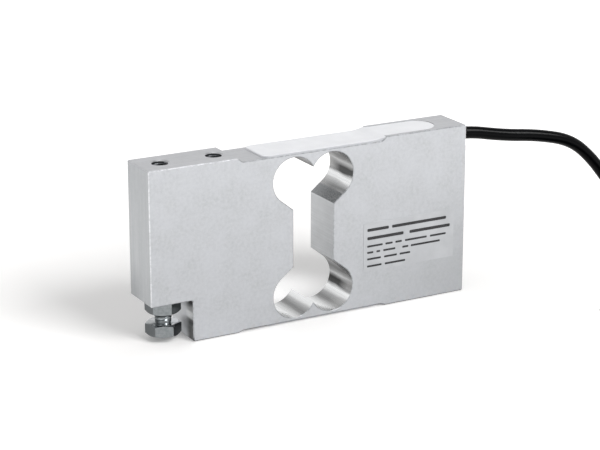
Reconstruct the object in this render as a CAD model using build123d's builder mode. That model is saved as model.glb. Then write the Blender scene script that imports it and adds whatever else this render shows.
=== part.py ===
from build123d import *
import math
import os

os.makedirs("parts", exist_ok=True)

# A weighing load cell: one milled aluminium spring body that bends at four thin webs,
# strain gauges sealed under silicone, an adjustable stop screw and a signal cable.
# The origin is under the middle of the body, which stands on its base. X runs from the
# load end to the fixed end where the cable leaves, -Y is the labelled front, +Z is up.

# Spring body
body_length = 150.0
body_width = 20.0
body_height = 75.0
edge_break = 0.4
window_edge_break = 0.3

# Clearance notch under the load end, with room for the stop screw
notch_length = 18.75
notch_height = 17.75
notch_corner_radius = 0.8

# Window: two pairs of bores joined by a slot, with a thin web over or under each bore
bore_radius = 10.1
bore_spacing = 17.8
web_thickness = 1.3
slot_width = 19.2
slot_corner_spacing = 25.0

# Shallow full-width recesses over and under the webs, for the strain gauges
recess_share = 0.47
recess_ramp = 2.4
upper_recess_depth = 1.75
lower_recess_depth = 0.8

# Wiring pocket in the top of the fixed end, open to the upper recess, and the passage
# down to the lower recess
pocket_reach_into_recess = 4.8
pocket_width = 16.0
pocket_depth = 10.0
pocket_end_distance = 12.7
passage_radius = 1.5
passage_setback = 3.0

# Threaded mounting holes: two in the top of the load end, two in the fixed end's base
mount_drill_radius = 3.4
mount_mouth_radius = 4.2
mount_mouth_depth = 0.4
mount_hole_depth = 16.0
mount_end_distance = 9.75
mount_pitch = 24.0
drill_point_angle = 118.0

# Stop screw and its jam nut
screw_radius = 4.0
screw_length = 25.0
screw_tip_chamfer = 0.8
screw_hole_clearance = 0.05
screw_hole_spare_depth = 3.0
hexagon_across_flats = 13.0
hexagon_sides = 6
hexagon_chamfer = 1.2
hexagon_chamfer_angle = 30.0
screw_head_height = 5.3
screw_head_base_height = 2.2
screw_head_turn = 9.0
nut_height = 4.4
nut_turn = 3.0

# Strain gauges, with a terminal strip between each pair and wires to the pocket
gauge_length = 9.0
gauge_width = 6.4
gauge_thickness = 0.1
gauge_lead_width = 0.8
gauge_lead_spacing = 3.2
terminal_length = 4.0
terminal_width = 15.0
terminal_thickness = 0.2
wire_radius = 0.25
wire_bend = 1.2
wire_bedding = 0.05
wire_rows = (-6.4, -5.2, 5.2, 6.4)
wire_turn_setback = 11.0
passage_wire_spots = ((0.4, -0.95), (-0.2, -0.3), (-0.2, 0.3), (0.4, 0.95))
wire_run_on_board = 2.4

# Silicone over the gauges and in the pocket
sealant_length = 55.8
sealant_side_margin = 0.4
sealant_corner_radius = 3.5
upper_sealant_thickness = 0.75
lower_sealant_thickness = 0.6
pocket_fill_gap = 0.1

# Compensation board in the pocket; its length and its gap are shares of the pocket's
board_share = 0.38
board_gap_share = 0.22
board_width = 12.0
board_thickness = 1.0
board_standoff = 1.4
upper_wire_pads = (-5.2, -4.0, 4.0, 5.2)
lower_wire_pads = (-2.4, -1.2, 1.2, 2.4)
resistor_length = 3.6
resistor_width = 1.8
resistor_height = 1.2
resistor_edge_break = 0.2
resistor_pitch = 3.4

# Cable, the crimp that holds it in the pocket, and its cores
cable_radius = 2.75
cable_axis_depth = 5.6
cable_bore_clearance = 0.4
cable_length_in_pocket = 5.3
crimp_radius = 4.0
crimp_length = 3.0
crimp_wall_gap = 0.2
core_radius = 0.65
core_circle_radius = 1.25
core_angles = (45, 135, 225, 315)
core_bend = 1.6
core_pads = (3.9, 1.3, -1.3, -3.9)
core_run_on_board = 2.6
core_straight_length = 2.2
drain_radius = 0.5

# Rating label on the front of the fixed end
label_length = 45.2
label_height = 21.6
label_thickness = 0.1
label_corner_radius = 0.6
label_end_distance = 5.6
label_base_height = 16.8

# Share of the shorter run that the arc at a corner of the cable's route takes up
arc_share = 0.45

# Neat coil of the cable's spare length, held by two ties and lying beside the body
coil_centre = (184.0, -35.5)
coil_mean_radius = 27.5
coil_turns_wide = 3
coil_turns_high = 4
coil_corner_radius = 2.2
tie_thickness = 0.6
tie_width = 3.6
tie_angles = (30.0, 215.0)
tie_head_length = 4.6

# Free ends of the cores
free_core_length = 36.0
free_core_spread = 5.0
tip_radius = 0.35
tip_length = 7.0

# Heights and places that follow from the sizes above
load_end = -body_length / 2
fixed_end = body_length / 2
front_face = -body_width / 2
upper_floor = body_height - upper_recess_depth
lower_floor = lower_recess_depth
recess_length = body_length * recess_share
upper_bore_height = upper_floor - web_thickness - bore_radius
lower_bore_height = lower_floor + web_thickness + bore_radius
ramp_top = recess_length / 2
ramp_foot = recess_length / 2 - recess_ramp
sealant_start = ramp_foot - sealant_length
sealant_width = body_width - 2 * sealant_side_margin
pocket_floor = body_height - pocket_depth
pocket_start = ramp_foot - pocket_reach_into_recess
pocket_apex = fixed_end - pocket_end_distance
pocket_length = pocket_apex - pocket_start
passage_place = pocket_start + passage_setback
screw_place = load_end + mount_end_distance
screw_head_top = screw_head_base_height + screw_head_height
screw_tip_height = screw_head_top + screw_length
cable_axis_height = body_height - cable_axis_depth
cable_start = pocket_apex - cable_length_in_pocket
board_top = pocket_floor + board_standoff + board_thickness
board_length = board_share * pocket_length
board_far_end = cable_start - board_gap_share * pocket_length
board_near_end = board_far_end - board_length
coil_bottom = tie_thickness
coil_half_width = coil_turns_wide * cable_radius
coil_height = coil_turns_high * 2 * cable_radius

# The cable's route outside its coil: points chosen by hand, down to the top of the coil,
# and from the coil's lowest outer turn to the cut end
lead_route = [
    (cable_start, 0.0, cable_axis_height),
    (79.5, 0.0, cable_axis_height),
    (101.0, 0.0, 64.6),
    (120.0, 0.0, 62.2),
    (138.0, -0.4, 57.6),
    (150.0, -0.9, 47.2),
    (159.5, -1.4, 35.0),
    (170.0, -2.2, 26.2),
    (183.0, -4.0, 20.6),
    (197.0, -8.0, 16.5),
]
tail_route = [
    (196.0, -65.0, 4.0),
    (180.0, -72.5, 3.0),
    (166.0, -75.5, 2.75),
    (153.0, -75.0, 2.75),
]


def save(piece, name):
    piece.label = name
    export_step(piece, f"parts/{name}.step")


def arc_radii(points):
    """The radius of the largest arc that each corner of a route has room for."""
    radii = []
    for before, corner, after in zip(points, points[1:], points[2:]):
        run_in = Vector(*corner) - Vector(*before)
        run_out = Vector(*after) - Vector(*corner)
        half_turn = math.radians(run_in.get_angle(run_out)) / 2
        room = arc_share * min(run_in.length, run_out.length)
        radii.append(room / math.tan(half_turn))
    return radii


def round_tube(points, radii, tube_radius):
    """A round tube along straight runs joined by tangent arcs."""
    with BuildPart() as tube:
        with BuildLine() as route:
            FilletPolyline(*points, radius=radii)
        with BuildSketch(Plane(origin=route.line @ 0, z_dir=route.line % 0)):
            Circle(tube_radius)
        sweep()
    return tube.part


def drilling(drill_radius, mouth_radius, mouth_depth, depth):
    """The space of a blind drilled hole with a countersunk mouth and a pointed end."""
    point_depth = drill_radius / math.tan(math.radians(drill_point_angle / 2))
    with BuildPart() as space:
        with BuildSketch(Plane.XZ):
            with BuildLine():
                Polyline(
                    (0, 0),
                    (mouth_radius, 0),
                    (drill_radius, -mouth_depth),
                    (drill_radius, -depth),
                    (0, -depth - point_depth),
                    close=True,
                )
            make_face()
        revolve(axis=Axis.Z)
    return space.part


def hexagon(height, turn):
    """A hexagon with its corners turned off at both faces, one flat at the given turn."""
    half_side_angle = 180 / hexagon_sides
    corner_radius = hexagon_across_flats / 2 / math.cos(math.radians(half_side_angle))
    face_radius = corner_radius - hexagon_chamfer
    chamfer_height = hexagon_chamfer * math.tan(math.radians(hexagon_chamfer_angle))
    with BuildPart() as blank:
        with BuildSketch():
            RegularPolygon(corner_radius, hexagon_sides, rotation=turn - half_side_angle)
        extrude(amount=height)
        with BuildSketch(Plane.XZ):
            with BuildLine():
                Polyline(
                    (0, 0),
                    (face_radius, 0),
                    (corner_radius, chamfer_height),
                    (corner_radius, height - chamfer_height),
                    (face_radius, height),
                    (0, height),
                    close=True,
                )
            make_face()
        revolve(axis=Axis.Z, mode=Mode.INTERSECT)
    return blank.part


# Spring body
with BuildPart() as spring_body:
    with BuildSketch(Plane.XZ) as side:
        with BuildLine():
            Polyline(
                (load_end, notch_height),
                (load_end, body_height),
                (-ramp_top, body_height),
                (-ramp_foot, upper_floor),
                (ramp_foot, upper_floor),
                (ramp_top, body_height),
                (fixed_end, body_height),
                (fixed_end, 0),
                (ramp_top, 0),
                (ramp_foot, lower_floor),
                (-ramp_foot, lower_floor),
                (-ramp_top, 0),
                (load_end + notch_length, 0),
                (load_end + notch_length, notch_height),
                close=True,
            )
        make_face()
        inner_corner = (load_end + notch_length, notch_height)
        fillet(side.vertices().sort_by_distance(inner_corner)[0], notch_corner_radius)
    extrude(amount=body_width / 2, both=True)
    outer_faces = faces().filter_by(Axis.Y) + faces().filter_by(Axis.X)
    chamfer(outer_faces.edges(), edge_break)

    half_slot = slot_width / 2
    half_corners = slot_corner_spacing / 2
    window_height = (upper_bore_height + lower_bore_height) / 2
    bore_rise = (upper_bore_height - lower_bore_height) / 2
    diagonal = (bore_spacing / 2 - half_slot + bore_rise - half_corners) / 2
    with BuildSketch(Plane.XZ.offset(body_width / 2)) as window:
        with Locations((0, window_height)):
            with GridLocations(bore_spacing, 2 * bore_rise, 2, 2):
                Circle(bore_radius)
            Polygon(
                (half_slot, -half_corners),
                (half_slot, half_corners),
                (half_slot + diagonal, half_corners + diagonal),
                (half_slot + diagonal, bore_rise),
                (-half_slot - diagonal, bore_rise),
                (-half_slot - diagonal, half_corners + diagonal),
                (-half_slot, half_corners),
                (-half_slot, -half_corners),
                (-half_slot - diagonal, -half_corners - diagonal),
                (-half_slot - diagonal, -bore_rise),
                (half_slot + diagonal, -bore_rise),
                (half_slot + diagonal, -half_corners - diagonal),
                align=None,
            )
    extrude(amount=-body_width, mode=Mode.SUBTRACT)
    window_reach = bore_spacing / 2 + bore_radius
    window_walls = (
        faces()
        .filter_by(lambda wall: abs(wall.normal_at().Y) < 0.01)
        .filter_by_position(Axis.X, -window_reach, window_reach)
        .filter_by_position(Axis.Z, lower_floor + 0.1, upper_floor - 0.1)
    )
    rims = window_walls.edges().filter_by(Axis.Y, reverse=True)
    chamfer(rims, window_edge_break)

    mount_hole = drilling(
        mount_drill_radius, mount_mouth_radius, mount_mouth_depth, mount_hole_depth
    )
    for step in (0, mount_pitch):
        with Locations((load_end + mount_end_distance + step, 0, body_height)):
            add(mount_hole, mode=Mode.SUBTRACT)
        with Locations(Location((fixed_end - mount_end_distance - step, 0, 0), (180, 0, 0))):
            add(mount_hole, mode=Mode.SUBTRACT)
    stop_hole_radius = screw_radius + screw_hole_clearance
    stop_hole_depth = screw_tip_height + screw_hole_spare_depth - notch_height
    stop_hole = drilling(
        stop_hole_radius, stop_hole_radius + edge_break, edge_break, stop_hole_depth
    )
    with Locations(Location((screw_place, 0, notch_height), (180, 0, 0))):
        add(stop_hole, mode=Mode.SUBTRACT)

    with BuildSketch(Plane.XY.offset(pocket_floor)):
        with Locations(((pocket_start + pocket_apex) / 2, 0)):
            SlotOverall(pocket_length, pocket_width)
    extrude(amount=pocket_depth, mode=Mode.SUBTRACT)
    with BuildSketch(Plane.XY):
        with Locations((passage_place, 0)):
            Circle(passage_radius)
    extrude(amount=pocket_floor, mode=Mode.SUBTRACT)
    with BuildSketch(Plane.YZ.offset(fixed_end)):
        with Locations((0, cable_axis_height)):
            Circle(cable_radius + cable_bore_clearance)
    extrude(amount=-pocket_end_distance - pocket_width / 2, mode=Mode.SUBTRACT)
save(spring_body.part, "spring_body")

# Stop screw, head down, and the jam nut that locks it against the notch's roof
with BuildPart() as stop_screw:
    with Locations((screw_place, 0, screw_head_base_height)):
        add(hexagon(screw_head_height, screw_head_turn))
    with BuildSketch(Plane((screw_place, 0, screw_head_top))):
        Circle(screw_radius)
    extrude(amount=screw_length)
    chamfer(stop_screw.edges().group_by(Axis.Z)[-1], screw_tip_chamfer)
save(stop_screw.part, "stop_screw")

with BuildPart() as jam_nut:
    with Locations((screw_place, 0, notch_height - nut_height)):
        add(hexagon(nut_height, nut_turn))
    with BuildSketch(Plane((screw_place, 0, notch_height - nut_height))):
        Circle(stop_hole_radius)
    extrude(amount=nut_height, mode=Mode.SUBTRACT)
save(jam_nut.part, "jam_nut")

# Rating label
with BuildPart() as rating_label:
    with BuildSketch(Plane.XZ.offset(-front_face)):
        label_middle = fixed_end - label_end_distance - label_length / 2
        with Locations((label_middle, label_base_height + label_height / 2)):
            RectangleRounded(label_length, label_height, label_corner_radius)
    extrude(amount=label_thickness)
save(rating_label.part, "rating_label")


def strain_gauge(floor, outward, end):
    """A foil gauge over one bore, with two ribbon leads that reach the terminal strip."""
    with BuildPart() as gauge:
        with BuildSketch(Plane.XY.offset(floor)):
            with Locations((end * bore_spacing / 2, 0)):
                Rectangle(gauge_length, gauge_width)
            lead_length = bore_spacing / 2 - terminal_length / 2
            with Locations((end * (terminal_length + lead_length) / 2, 0)):
                with GridLocations(1, gauge_lead_spacing, 1, 2):
                    Rectangle(lead_length, gauge_lead_width)
        extrude(amount=outward * gauge_thickness)
    return gauge.part


def terminal_strip(floor, outward):
    with BuildPart() as strip:
        with BuildSketch(Plane.XY.offset(floor)):
            Rectangle(terminal_length, terminal_width)
        extrude(amount=outward * terminal_thickness)
    return strip.part


# Gauges and terminal strips, bonded to the recess floors
upper_pieces = []
lower_pieces = []
for end, end_name in ((-1, "load_end"), (1, "fixed_end")):
    upper_gauge = strain_gauge(upper_floor, 1, end)
    save(upper_gauge, f"upper_gauge_{end_name}")
    upper_pieces.append(upper_gauge)
    lower_gauge = strain_gauge(lower_floor, -1, end)
    save(lower_gauge, f"lower_gauge_{end_name}")
    lower_pieces.append(lower_gauge)
upper_terminal = terminal_strip(upper_floor, 1)
save(upper_terminal, "upper_terminal_strip")
upper_pieces.append(upper_terminal)
lower_terminal = terminal_strip(lower_floor, -1)
save(lower_terminal, "lower_terminal_strip")
lower_pieces.append(lower_terminal)

# Gauge wires: over the recess floor into the pocket, or up through the passage
wire_on_board = board_top + wire_radius
wire_pad_place = board_near_end + wire_run_on_board
pocket_end_radius = pocket_width / 2
with BuildPart() as upper_gauge_wires:
    for row, pad in zip(wire_rows, upper_wire_pads):
        rim = pocket_start + pocket_end_radius - math.sqrt(pocket_end_radius**2 - row**2)
        wire_height = upper_floor + wire_bedding + wire_radius
        points = [
            (terminal_length / 2, row, wire_height),
            (rim + wire_bend, row, wire_height),
            (board_near_end - wire_bend, pad, wire_on_board),
            (wire_pad_place, pad, wire_on_board),
        ]
        add(round_tube(points, wire_bend, wire_radius))
save(upper_gauge_wires.part, "upper_gauge_wires")
upper_pieces.append(upper_gauge_wires.part)

with BuildPart() as lower_gauge_wires:
    for row, spot, pad in zip(wire_rows, passage_wire_spots, lower_wire_pads):
        wire_height = lower_floor - wire_bedding - wire_radius
        climb = passage_place + spot[0]
        points = [
            (terminal_length / 2, row, wire_height),
            (passage_place - wire_turn_setback, row, wire_height),
            (climb, spot[1], wire_height),
            (climb, spot[1], wire_on_board + wire_bend),
            (board_near_end - wire_bend, pad, wire_on_board),
            (wire_pad_place, pad, wire_on_board),
        ]
        add(round_tube(points, wire_bend, wire_radius))
save(lower_gauge_wires.part, "lower_gauge_wires")
upper_pieces.append(lower_gauge_wires.part)
lower_pieces.append(lower_gauge_wires.part)

# Compensation board and its resistors
board_middle = (board_near_end + board_far_end) / 2
with BuildPart() as compensation_board:
    with BuildSketch(Plane.XY.offset(board_top)):
        with Locations((board_middle, 0)):
            Rectangle(board_length, board_width)
    extrude(amount=-board_thickness)
save(compensation_board.part, "compensation_board")
upper_pieces.append(compensation_board.part)

resistor_names = ("zero_balance", "span", "temperature")
resistor_places = GridLocations(1, resistor_pitch, 1, len(resistor_names)).locations
for resistor_name, place in zip(resistor_names, resistor_places):
    with BuildPart() as resistor:
        with BuildSketch(Plane.XY.offset(board_top)):
            with Locations((board_middle + place.position.X, place.position.Y)):
                Rectangle(resistor_length, resistor_width)
        extrude(amount=resistor_height)
        chamfer(resistor.edges().group_by(Axis.Z)[-1], resistor_edge_break)
    save(resistor.part, f"{resistor_name}_resistor")
    upper_pieces.append(resistor.part)

# Cores of the cable, from its cut jacket to the board
core_names = ("red", "green", "black", "white")
core_on_board = board_top + core_radius
for core_name, angle, pad_row in zip(core_names, core_angles, core_pads):
    across = core_circle_radius * math.sin(math.radians(angle))
    above = core_circle_radius * math.cos(math.radians(angle))
    points = [
        (cable_start, across, cable_axis_height + above),
        (cable_start - core_straight_length, across, cable_axis_height + above),
        (board_far_end + core_bend, pad_row, core_on_board),
        (board_far_end - core_run_on_board, pad_row, core_on_board),
    ]
    core = round_tube(points, core_bend, core_radius)
    save(core, f"{core_name}_core")
    upper_pieces.append(core)

# Cable from the pocket down to its coil, and the crimp that stops it pulling out
with BuildPart() as cable_coil:
    section_plane = Plane(origin=(*coil_centre, 0), x_dir=(1, 0, 0), z_dir=(0, -1, 0))
    with BuildSketch(section_plane):
        with Locations((coil_mean_radius, coil_bottom + coil_height / 2)):
            RectangleRounded(2 * coil_half_width, coil_height, coil_corner_radius)
    revolve(axis=Axis((*coil_centre, 0), (0, 0, 1)))
save(cable_coil.part, "cable_coil")

with BuildPart() as cable_lead:
    add(round_tube(lead_route, arc_radii(lead_route), cable_radius))
    add(cable_coil.part, mode=Mode.SUBTRACT)
save(cable_lead.part, "cable_lead")
upper_pieces.append(cable_lead.part)

with BuildPart() as cable_tail:
    add(round_tube(tail_route, arc_radii(tail_route), cable_radius))
    add(cable_coil.part, mode=Mode.SUBTRACT)
save(cable_tail.part, "cable_tail")
print("Bend radii of the lead:", [round(radius, 1) for radius in arc_radii(lead_route)])
print("Bend radii of the tail:", [round(radius, 1) for radius in arc_radii(tail_route)])

with BuildPart() as cable_crimp:
    pocket_wall_at_crimp = (
        pocket_apex - pocket_end_radius + math.sqrt(pocket_end_radius**2 - crimp_radius**2)
    )
    with BuildSketch(Plane.YZ.offset(pocket_wall_at_crimp - crimp_wall_gap)):
        with Locations((0, cable_axis_height)):
            Circle(crimp_radius)
            Circle(cable_radius, mode=Mode.SUBTRACT)
    extrude(amount=-crimp_length)
save(cable_crimp.part, "cable_crimp")
upper_pieces.append(cable_crimp.part)

# Ties round the coil, each a closed band with its head on the outside
tie_arc = math.degrees(tie_width / coil_mean_radius)
with BuildPart() as coil_ties:
    for tie_angle in tie_angles:
        turned = math.radians(tie_angle)
        tie_plane = Plane(
            origin=(*coil_centre, 0),
            x_dir=(math.cos(turned), math.sin(turned), 0),
            z_dir=(math.sin(turned), -math.cos(turned), 0),
        )
        with BuildSketch(tie_plane):
            with Locations((coil_mean_radius, coil_bottom + coil_height / 2)):
                RectangleRounded(
                    2 * coil_half_width + 2 * tie_thickness,
                    coil_height + 2 * tie_thickness,
                    coil_corner_radius + tie_thickness,
                )
            with Locations((coil_mean_radius + coil_half_width, coil_bottom + coil_height / 2)):
                Rectangle(tie_head_length, tie_head_length)
            with Locations((coil_mean_radius, coil_bottom + coil_height / 2)):
                RectangleRounded(
                    2 * coil_half_width, coil_height, coil_corner_radius, mode=Mode.SUBTRACT
                )
        revolve(axis=Axis((*coil_centre, 0), (0, 0, 1)), revolution_arc=tie_arc)
save(coil_ties.part, "coil_ties")

# Free ends of the cores beyond the cut jacket, fanned out on the surface.
# Each has its place in the jacket, sideways and above the axis, and its place in the fan.
cut_end = Vector(*tail_route[-1])
cut_direction = (cut_end - Vector(*tail_route[-2])).normalized()
sideways = cut_direction.cross(Vector(0, 0, 1)).normalized()
core_offset = core_circle_radius * math.sin(math.radians(core_angles[0]))
free_cores = (
    ("red_lead", core_radius, -core_offset, -core_offset, -2.0),
    ("green_lead", core_radius, -core_offset, core_offset, -1.0),
    ("drain_wire", drain_radius, 0.0, 0.0, 0.2),
    ("black_lead", core_radius, core_offset, core_offset, 1.0),
    ("white_lead", core_radius, core_offset, -core_offset, 2.0),
)
free_core_steps = (
    (0.0, 0.0, 1.0),
    (0.12, 0.0, 1.0),
    (0.4, 0.45, 0.0),
    (0.7, 0.8, 0.0),
    (1.0, 1.0, 0.0),
)
tip_ends = []
for free_name, radius, across, above, place in free_cores:
    points = []
    for along, spread, lifted in free_core_steps:
        reach = cut_direction * (along * free_core_length)
        shift = sideways * (across + spread * place * free_core_spread)
        point = cut_end + reach + shift
        height = lifted * (cut_end.Z + above) + (1 - lifted) * radius
        points.append((point.X, point.Y, height))
    save(round_tube(points, arc_radii(points), radius), free_name)
    if free_name != "drain_wire":
        tip_ends.append((Vector(*points[-2]), Vector(*points[-1])))

with BuildPart() as core_tips:
    for before_tip, tip_start in tip_ends:
        with BuildSketch(Plane(origin=tip_start, z_dir=tip_start - before_tip)):
            Circle(tip_radius)
        extrude(amount=tip_length)
save(core_tips.part, "core_tips")

# Silicone over the upper gauges, running into the fill of the wiring pocket
sealant_top = upper_floor + upper_sealant_thickness
ramp_under_sealant = upper_sealant_thickness * recess_ramp / upper_recess_depth
fill_top = body_height - pocket_fill_gap
with BuildPart() as upper_sealant:
    with BuildSketch(Plane.XZ):
        with BuildLine():
            Polyline(
                (sealant_start, upper_floor),
                (ramp_foot, upper_floor),
                (ramp_foot + ramp_under_sealant, sealant_top),
                (sealant_start, sealant_top),
                close=True,
            )
        make_face()
    extrude(amount=sealant_width / 2, both=True)
    load_end_corners = upper_sealant.edges().filter_by(Axis.Z).group_by(Axis.X)[0]
    fillet(load_end_corners, sealant_corner_radius)
    with BuildSketch(Plane.XY.offset(pocket_floor)):
        with Locations(((pocket_start + pocket_apex) / 2, 0)):
            SlotOverall(pocket_length, pocket_width)
    extrude(amount=fill_top - pocket_floor)
    with BuildSketch(Plane.XZ):
        with BuildLine():
            Polyline(
                (sealant_start, sealant_top),
                (ramp_foot, sealant_top),
                (ramp_top, fill_top),
                (ramp_top, body_height),
                (sealant_start, body_height),
                close=True,
            )
        make_face()
    extrude(amount=sealant_width / 2, both=True, mode=Mode.SUBTRACT)
    for piece in upper_pieces:
        add(piece, mode=Mode.SUBTRACT)
save(upper_sealant.part, "upper_sealant")

# Silicone over the lower gauges
with BuildPart() as lower_sealant:
    with BuildSketch(Plane.XY.offset(lower_floor)):
        with Locations((sealant_start, 0)):
            Rectangle(sealant_length, sealant_width, align=(Align.MIN, Align.CENTER))
    extrude(amount=-lower_sealant_thickness)
    fillet(lower_sealant.edges().filter_by(Axis.Z), sealant_corner_radius)
    for piece in lower_pieces:
        add(piece, mode=Mode.SUBTRACT)
save(lower_sealant.part, "lower_sealant")
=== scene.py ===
import math

import bmesh
import bpy
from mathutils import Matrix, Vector


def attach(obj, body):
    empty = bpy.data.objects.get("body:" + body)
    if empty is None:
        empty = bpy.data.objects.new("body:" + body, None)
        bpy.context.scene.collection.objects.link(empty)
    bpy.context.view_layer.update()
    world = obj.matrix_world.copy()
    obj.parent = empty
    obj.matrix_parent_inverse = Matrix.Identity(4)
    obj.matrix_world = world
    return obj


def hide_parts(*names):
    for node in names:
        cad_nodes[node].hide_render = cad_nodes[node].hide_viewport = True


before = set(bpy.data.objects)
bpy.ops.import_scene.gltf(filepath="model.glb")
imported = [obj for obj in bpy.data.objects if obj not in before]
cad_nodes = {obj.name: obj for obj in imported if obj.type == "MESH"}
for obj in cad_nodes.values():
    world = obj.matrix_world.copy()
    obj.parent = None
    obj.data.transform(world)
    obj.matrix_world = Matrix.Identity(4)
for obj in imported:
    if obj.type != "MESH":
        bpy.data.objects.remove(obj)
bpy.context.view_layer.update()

MM = 0.001

# The spring body, in metres, with x along it and the load end at -x
HALF_LENGTH, HALF_WIDTH, TOP, LOWER_FLOOR = 0.075, 0.010, 0.075, 0.0008
HOLE_PLACES, TAP_RADIUS = (0.06525, 0.04125), 0.0034

# The window: a slot with a bore at each corner
BORE_X, UPPER_BORE_Z, LOWER_BORE_Z, BORE_RADIUS = 0.0089, 0.06185, 0.0122, 0.0101
HALF_SLOT, SLOT_CORNER = 0.0096, 0.01245
WINDOW_MIDDLE = (UPPER_BORE_Z + LOWER_BORE_Z) / 2

# The stop screw in the load end's outer hole, and its jam nut
SCREW_X = -HOLE_PLACES[0]
HEAD_BASE, HEAD_TOP, SHANK_TOP = 0.0022, 0.0075, 0.0325
NUT_BASE, NUT_TOP, NUT_BORE = 0.01185, 0.01775, 0.00405
HALF_FLATS, FACE_RADIUS = 0.0065, 0.0063
THREAD_PITCH, THREAD_CREST, THREAD_ROOT = 0.00125, 0.0040, 0.00339

# The seal: a pad over the gauges, a ramp, and the pocket with its round ends
SEAL_START, RAMP_FOOT, RAMP_TOP = -0.02295, 0.03285, 0.03525
POCKET_START, POCKET_END, POCKET_APEX, POCKET_HALF = 0.02805, 0.0623, 0.0635, 0.0080
PAD_HALF, PAD_CORNER = 0.0096, 0.0035


def linked(name, data):
    """A new object in the scene."""
    item = bpy.data.objects.new(name, data)
    bpy.context.collection.objects.link(item)
    return item


# ---------------------------------------- camera

TARGET = Vector((-0.00655, -0.010, 0.0425))
CAMERA_AZIMUTH, CAMERA_ELEVATION = math.radians(-29.016), math.radians(17.641)
CAMERA_DISTANCE = 0.84492

away = Vector(
    (
        math.cos(CAMERA_ELEVATION) * math.sin(CAMERA_AZIMUTH),
        -math.cos(CAMERA_ELEVATION) * math.cos(CAMERA_AZIMUTH),
        math.sin(CAMERA_ELEVATION),
    )
)
camera_data = bpy.data.cameras.new("camera")
camera_data.sensor_fit = "HORIZONTAL"
camera_data.sensor_width = 36.0
camera_data.lens = 122.34
camera_data.clip_start = 0.05
camera = linked("camera", camera_data)
camera.location = TARGET + away * CAMERA_DISTANCE
camera.rotation_euler = (-away).to_track_quat("-Z", "Y").to_euler()
bpy.context.scene.camera = camera


# ---------------------------------------- node helpers


class Nodes:
    """The node tree of a material or a world, with short calls for the nodes they share."""

    def __init__(self, owner):
        owner.use_nodes = True
        self.owner = owner
        self.tree = owner.node_tree
        self.coordinates = self.new("TexCoord").outputs
        self.place = self.coordinates["Object"]

    def new(self, kind, inputs=None, **settings):
        """A node with its settings, and with inputs by name or number."""
        node = self.tree.nodes.new(f"ShaderNode{kind}")
        for key, value in settings.items():
            setattr(node, key, value)
        for key, value in (inputs or {}).items():
            self.feed(value, node.inputs[key])
        return node

    def feed(self, value, socket):
        """Links another node's output to a socket, or sets the socket to a constant."""
        if isinstance(value, bpy.types.NodeSocket):
            self.tree.links.new(value, socket)
        else:
            socket.default_value = value

    def parts(self, vector):
        """A vector's x, y and z."""
        return self.new("SeparateXYZ", {0: vector}).outputs

    def facing(self):
        """The way that the surface faces, as three numbers."""
        return self.parts(self.new("NewGeometry").outputs["Normal"])

    def looked_at(self):
        """Whether a ray comes straight from the camera, and whether it may come by a gloss."""
        path = self.new("LightPath").outputs
        straight = self.math("MAXIMUM", path["Is Camera Ray"], path["Is Transmission Ray"])
        return straight, self.math("MAXIMUM", straight, path["Is Glossy Ray"])

    def stretched(self, scale):
        """Each place, with each of its coordinates times its own scale."""
        return self.new("Mapping", {"Vector": self.place, "Scale": scale}).outputs["Vector"]

    def away_from(self, point):
        """How far each place is from a point."""
        node = self.new("VectorMath", {0: self.place, 1: point}, operation="DISTANCE")
        return node.outputs["Value"]

    def noise(self, vector, scale, detail=3.0, roughness=0.5):
        inputs = {"Vector": vector, "Scale": scale, "Detail": detail, "Roughness": roughness}
        return self.new("TexNoise", inputs).outputs["Fac"]

    def ranged(self, value, low, high, to_low=0, to_high=1, slope="LINEAR"):
        """Moves a value from the range low to high into another one, and stops at its ends."""
        inputs = {"Value": value, "From Min": low, "From Max": high}
        inputs |= {"To Min": to_low, "To Max": to_high}
        return self.new("MapRange", inputs, interpolation_type=slope).outputs["Result"]

    def math(self, operation, first, second=0.0):
        return self.new("Math", {0: first, 1: second}, operation=operation).outputs[0]

    def product(self, first, *others):
        for other in others:
            first = self.math("MULTIPLY", first, other)
        return first

    def total(self, first, *others):
        for other in others:
            first = self.math("ADD", first, other)
        return first

    def distance(self, across, above):
        squares = self.total(self.product(across, across), self.product(above, above))
        return self.math("SQRT", squares)

    def mix(self, factor, first, second, blend="MIX"):
        inputs = {0: factor, 6: first, 7: second}
        return self.new("Mix", inputs, data_type="RGBA", blend_type=blend).outputs[2]

    def mix_numbers(self, factor, first, second):
        return self.new("Mix", {0: factor, 2: first, 3: second}, data_type="FLOAT").outputs[0]

    def fade(self, value, low, high, first, second):
        """The first colour where the value is low, the second where it is high."""
        return self.mix(self.ranged(value, low, high), first, second)

    def toned(self, value, low, high, stops):
        """A grey for each value from low to high, even between the stops."""
        ramp = self.new("ValToRGB", {0: self.ranged(value, low, high)})
        elements = ramp.color_ramp.elements
        while len(elements) < len(stops):
            elements.new(0.5)
        for element, (place, tone) in zip(elements, stops):
            element.position = (place - low) / (high - low)
            element.color = (tone * 0.985, tone * 0.995, tone, 1)
        return ramp.outputs["Color"]

    def bump(self, height, strength, distance):
        inputs = {"Height": height, "Strength": strength, "Distance": distance}
        return self.new("Bump", inputs).outputs["Normal"]

    def set(self, **inputs):
        """Sets the material's shader and gives the material."""
        names = {"colour": "Base Color", "specular": "Specular IOR Level"}
        sockets = self.tree.nodes["Principled BSDF"].inputs
        for key, value in inputs.items():
            self.feed(value, sockets[names.get(key, key.capitalize())])
        return self.owner


# The values that nearly all of a noise has, and those of a normal straight along an axis
NOISE_SPAN, STRAIGHT = (0.3, 0.7), (0.85, 0.95)


def rgb(red, green, blue):
    """A colour given as it shows on a screen, 0 to 255, made linear."""

    def linear(value):
        value /= 255
        return value / 12.92 if value <= 0.04045 else ((value + 0.055) / 1.055) ** 2.4

    return (linear(red), linear(green), linear(blue), 1.0)


# ---------------------------------------- shape helpers


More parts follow.
